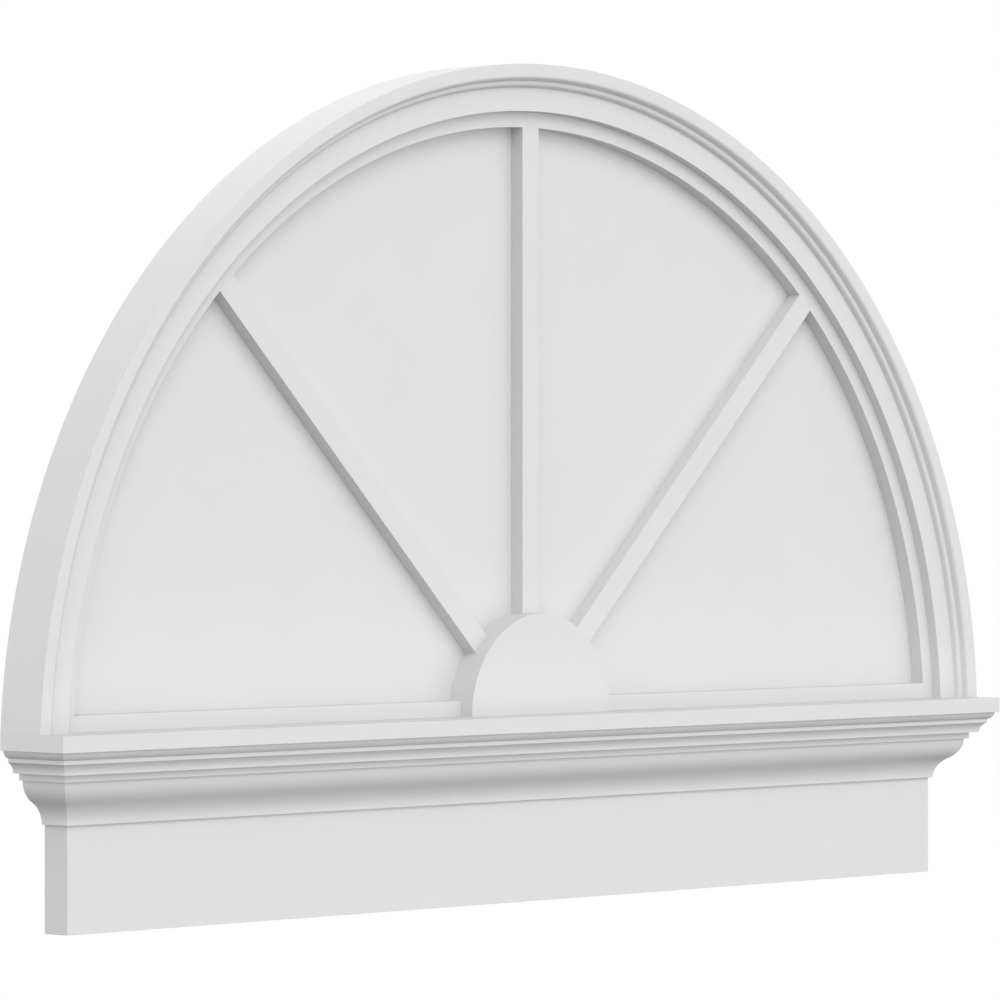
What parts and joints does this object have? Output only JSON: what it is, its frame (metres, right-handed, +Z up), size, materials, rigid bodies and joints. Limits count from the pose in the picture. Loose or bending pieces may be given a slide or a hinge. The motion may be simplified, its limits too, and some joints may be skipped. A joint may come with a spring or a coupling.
{
  "type": "half round pediment",
  "caption": "Half round pediment for above a door: an arched moulding round a fan of spokes, on a mitred cornice and a plain frieze board.",
  "frame": {"origin": "middle of the frieze board's back face, on the wall", "axes": "+Z up, the front faces -Y, the back lies in the plane Y = 0, +X to the right as seen from the front"},
  "size_m": [1.105, 0.0698, 0.68],
  "materials": {
    "frieze_board": "satin white cellular PVC board",
    "cornice": "satin white cellular PVC moulding",
    "field_panel": "satin white cellular PVC sheet",
    "fan_grille": "satin white cellular PVC sheet",
    "arch_moulding": "satin white cellular PVC moulding",
    "hub_block": "satin white cellular PVC block"
  },
  "bodies": {
    "root": {"frieze_board": "frieze_board", "cornice": "cornice", "field_panel": "field_panel", "fan_grille": "fan_grille", "arch_moulding": "arch_moulding", "hub_block": "hub_block"}
  },
  "joints": []
}
